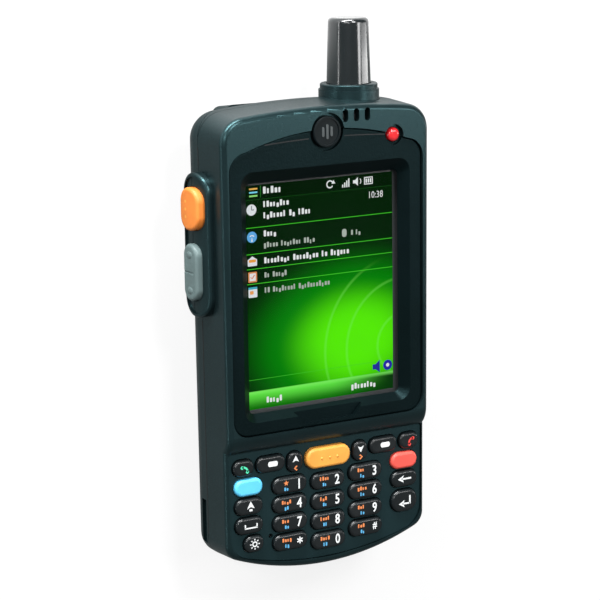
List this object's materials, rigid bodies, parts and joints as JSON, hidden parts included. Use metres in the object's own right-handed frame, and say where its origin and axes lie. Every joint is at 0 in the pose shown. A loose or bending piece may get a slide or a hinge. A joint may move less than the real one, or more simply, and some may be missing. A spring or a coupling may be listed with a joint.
{
  "type": "portable barcode data terminal",
  "caption": "Handheld data terminal with touch display, numeric keypad, side scan buttons, scan window in the top end, stub antenna and a lift-off battery pack.",
  "frame": {"origin": "on the battery pack's flat outer face, which the terminal lies on, straight under the centre of the display's picture", "axes": "+X to the right of someone who reads the display, +Y towards the antenna end, +Z out of the display"},
  "size_m": [0.0854, 0.1744, 0.0383],
  "materials": {
    "housing": "fine spark-eroded texture, dark charcoal",
    "bezel": "coarser texture, black",
    "panel": "fine texture, black",
    "rubber": "plain foam rubber",
    "membrane": "silicone rubber",
    "touch_glass": "clear, glossy",
    "display": "lit picture behind glass, metal frame round it",
    "emblem": "satin disc with a raised rim",
    "red_lens": "translucent red, glossy",
    "speaker_black": "black mesh",
    "plated_metal": "plated can",
    "circuit_board": "green solder mask",
    "scan_glass": "dark red tinted window",
    "engine_metal": "black anodised",
    "antenna_plastic": "glossy black",
    "collar_plastic": "satin",
    "brass": "turned",
    "switch_plastic": "moulded",
    "gold_contact": "gold plated",
    "connector_plastic": "moulded, black",
    "screw_steel": "blackened steel",
    "orange_button": "matt orange",
    "orange_key": "satin orange",
    "grey_button": "matt grey",
    "battery_plastic": "fine texture, black",
    "latch_plastic": "ribbed",
    "key_black": "satin black with printed marks",
    "blue_key": "satin light blue",
    "red_key": "satin red"
  },
  "bodies": {
    "terminal": {"front_housing": "housing", "rear_housing": "housing", "top_cap": "housing", "display_bezel": "bezel", "display_gasket": "rubber", "touch_panel": "touch_glass", "lcd_module": "display", "emblem_disc": "emblem", "indicator_lens": "red_lens", "earpiece": "speaker_black", "keypad_panel": "panel", "keypad_membrane": "membrane", "microphone": "plated_metal", "keypad_board": "circuit_board", "scan_window": "scan_glass", "scan_engine": "engine_metal", "loudspeaker": "speaker_black", "antenna_cover": "antenna_plastic", "antenna_collar": "collar_plastic", "antenna_core": "brass", "side_switches": "switch_plastic", "battery_contacts": "gold_contact", "main_board": "circuit_board", "io_connector": "connector_plastic", "io_contacts": "gold_contact", "housing_screws": "screw_steel"},
    "key_1_body": {"key_1": "key_black"},
    "key_2_body": {"key_2": "key_black"},
    "key_3_body": {"key_3": "key_black"},
    "key_4_body": {"key_4": "key_black"},
    "key_5_body": {"key_5": "key_black"},
    "key_6_body": {"key_6": "key_black"},
    "key_7_body": {"key_7": "key_black"},
    "key_8_body": {"key_8": "key_black"},
    "key_9_body": {"key_9": "key_black"},
    "key_star_body": {"key_star": "key_black"},
    "key_0_body": {"key_0": "key_black"},
    "key_hash_body": {"key_hash": "key_black"},
    "key_call_body": {"key_call": "key_black"},
    "key_end_body": {"key_end": "key_black"},
    "key_soft_left_body": {"key_soft_left": "key_black"},
    "key_soft_right_body": {"key_soft_right": "key_black"},
    "key_up_body": {"key_up": "key_black"},
    "key_down_body": {"key_down": "key_black"},
    "key_scan_body": {"key_scan": "orange_key"},
    "key_blue_body": {"key_blue": "blue_key"},
    "key_shift_body": {"key_shift": "key_black"},
    "key_space_body": {"key_space": "key_black"},
    "key_backlight_body": {"key_backlight": "key_black"},
    "key_power_body": {"key_power": "red_key"},
    "key_backspace_body": {"key_backspace": "key_black"},
    "key_enter_body": {"key_enter": "key_black"},
    "scan_trigger_body": {"scan_trigger": "orange_button"},
    "right_scan_button_body": {"right_scan_button": "orange_button"},
    "action_button_body": {"action_button": "grey_button"},
    "volume_rocker_body": {"volume_rocker": "grey_button"},
    "battery_pack_body": {"battery_pack": "battery_plastic"},
    "battery_latch_left_body": {"battery_latch_left": "latch_plastic"},
    "battery_latch_right_body": {"battery_latch_right": "latch_plastic"}
  },
  "joints": [
    {"name": "press_key_1", "type": "slide", "parent": "terminal", "child": "key_1_body", "axis": [0, 0, -1], "range_m": [0, 0.0007], "stiffness_N_per_m": 900},
    {"name": "press_key_2", "type": "slide", "parent": "terminal", "child": "key_2_body", "axis": [0, 0, -1], "range_m": [0, 0.0007], "stiffness_N_per_m": 900},
    {"name": "press_key_3", "type": "slide", "parent": "terminal", "child": "key_3_body", "axis": [0, 0, -1], "range_m": [0, 0.0007], "stiffness_N_per_m": 900},
    {"name": "press_key_4", "type": "slide", "parent": "terminal", "child": "key_4_body", "axis": [0, 0, -1], "range_m": [0, 0.0007], "stiffness_N_per_m": 900},
    {"name": "press_key_5", "type": "slide", "parent": "terminal", "child": "key_5_body", "axis": [0, 0, -1], "range_m": [0, 0.0007], "stiffness_N_per_m": 900},
    {"name": "press_key_6", "type": "slide", "parent": "terminal", "child": "key_6_body", "axis": [0, 0, -1], "range_m": [0, 0.0007], "stiffness_N_per_m": 900},
    {"name": "press_key_7", "type": "slide", "parent": "terminal", "child": "key_7_body", "axis": [0, 0, -1], "range_m": [0, 0.0007], "stiffness_N_per_m": 900},
    {"name": "press_key_8", "type": "slide", "parent": "terminal", "child": "key_8_body", "axis": [0, 0, -1], "range_m": [0, 0.0007], "stiffness_N_per_m": 900},
    {"name": "press_key_9", "type": "slide", "parent": "terminal", "child": "key_9_body", "axis": [0, 0, -1], "range_m": [0, 0.0007], "stiffness_N_per_m": 900},
    {"name": "press_key_star", "type": "slide", "parent": "terminal", "child": "key_star_body", "axis": [0, 0, -1], "range_m": [0, 0.0007], "stiffness_N_per_m": 900},
    {"name": "press_key_0", "type": "slide", "parent": "terminal", "child": "key_0_body", "axis": [0, 0, -1], "range_m": [0, 0.0007], "stiffness_N_per_m": 900},
    {"name": "press_key_hash", "type": "slide", "parent": "terminal", "child": "key_hash_body", "axis": [0, 0, -1], "range_m": [0, 0.0007], "stiffness_N_per_m": 900},
    {"name": "press_key_call", "type": "slide", "parent": "terminal", "child": "key_call_body", "axis": [0, 0, -1], "range_m": [0, 0.0007], "stiffness_N_per_m": 900},
    {"name": "press_key_end", "type": "slide", "parent": "terminal", "child": "key_end_body", "axis": [0, 0, -1], "range_m": [0, 0.0007], "stiffness_N_per_m": 900},
    {"name": "press_key_soft_left", "type": "slide", "parent": "terminal", "child": "key_soft_left_body", "axis": [0, 0, -1], "range_m": [0, 0.0007], "stiffness_N_per_m": 900},
    {"name": "press_key_soft_right", "type": "slide", "parent": "terminal", "child": "key_soft_right_body", "axis": [0, 0, -1], "range_m": [0, 0.0007], "stiffness_N_per_m": 900},
    {"name": "press_key_up", "type": "slide", "parent": "terminal", "child": "key_up_body", "axis": [0, 0, -1], "range_m": [0, 0.0007], "stiffness_N_per_m": 900},
    {"name": "press_key_down", "type": "slide", "parent": "terminal", "child": "key_down_body", "axis": [0, 0, -1], "range_m": [0, 0.0007], "stiffness_N_per_m": 900},
    {"name": "press_key_scan", "type": "slide", "parent": "terminal", "child": "key_scan_body", "axis": [0, 0, -1], "range_m": [0, 0.0007], "stiffness_N_per_m": 900},
    {"name": "press_key_blue", "type": "slide", "parent": "terminal", "child": "key_blue_body", "axis": [0, 0, -1], "range_m": [0, 0.0007], "stiffness_N_per_m": 900},
    {"name": "press_key_shift", "type": "slide", "parent": "terminal", "child": "key_shift_body", "axis": [0, 0, -1], "range_m": [0, 0.0007], "stiffness_N_per_m": 900},
    {"name": "press_key_space", "type": "slide", "parent": "terminal", "child": "key_space_body", "axis": [0, 0, -1], "range_m": [0, 0.0007], "stiffness_N_per_m": 900},
    {"name": "press_key_backlight", "type": "slide", "parent": "terminal", "child": "key_backlight_body", "axis": [0, 0, -1], "range_m": [0, 0.0007], "stiffness_N_per_m": 900},
    {"name": "press_key_power", "type": "slide", "parent": "terminal", "child": "key_power_body", "axis": [0, 0, -1], "range_m": [0, 0.0007], "stiffness_N_per_m": 900},
    {"name": "press_key_backspace", "type": "slide", "parent": "terminal", "child": "key_backspace_body", "axis": [0, 0, -1], "range_m": [0, 0.0007], "stiffness_N_per_m": 900},
    {"name": "press_key_enter", "type": "slide", "parent": "terminal", "child": "key_enter_body", "axis": [0, 0, -1], "range_m": [0, 0.0007], "stiffness_N_per_m": 900},
    {"name": "press_scan_trigger", "type": "slide", "parent": "terminal", "child": "scan_trigger_body", "axis": [1, 0, 0], "range_m": [0, 0.0009], "stiffness_N_per_m": 900},
    {"name": "press_right_scan_button", "type": "slide", "parent": "terminal", "child": "right_scan_button_body", "axis": [-1, 0, 0], "range_m": [0, 0.0009], "stiffness_N_per_m": 900},
    {"name": "press_action_button", "type": "slide", "parent": "terminal", "child": "action_button_body", "axis": [-1, 0, 0], "range_m": [0, 0.0009], "stiffness_N_per_m": 900},
    {"name": "tilt_volume_rocker", "type": "hinge", "parent": "terminal", "child": "volume_rocker_body", "pos_m": [-0.038, 0.0088, 0.0244], "axis": [0, 0, 1], "range_deg": [-2.5, 2.5], "stiffness_Nm_per_rad": 0.05},
    {"name": "lift_off_battery", "type": "slide", "parent": "terminal", "child": "battery_pack_body", "axis": [0, 0, -1], "range_m": [0, 0.025]},
    {"name": "press_latch_left", "type": "slide", "parent": "battery_pack_body", "child": "battery_latch_left_body", "axis": [1, 0, 0], "range_m": [0, 0.001], "stiffness_N_per_m": 900},
    {"name": "press_latch_right", "type": "slide", "parent": "battery_pack_body", "child": "battery_latch_right_body", "axis": [-1, 0, 0], "range_m": [0, 0.001], "stiffness_N_per_m": 900}
  ]
}
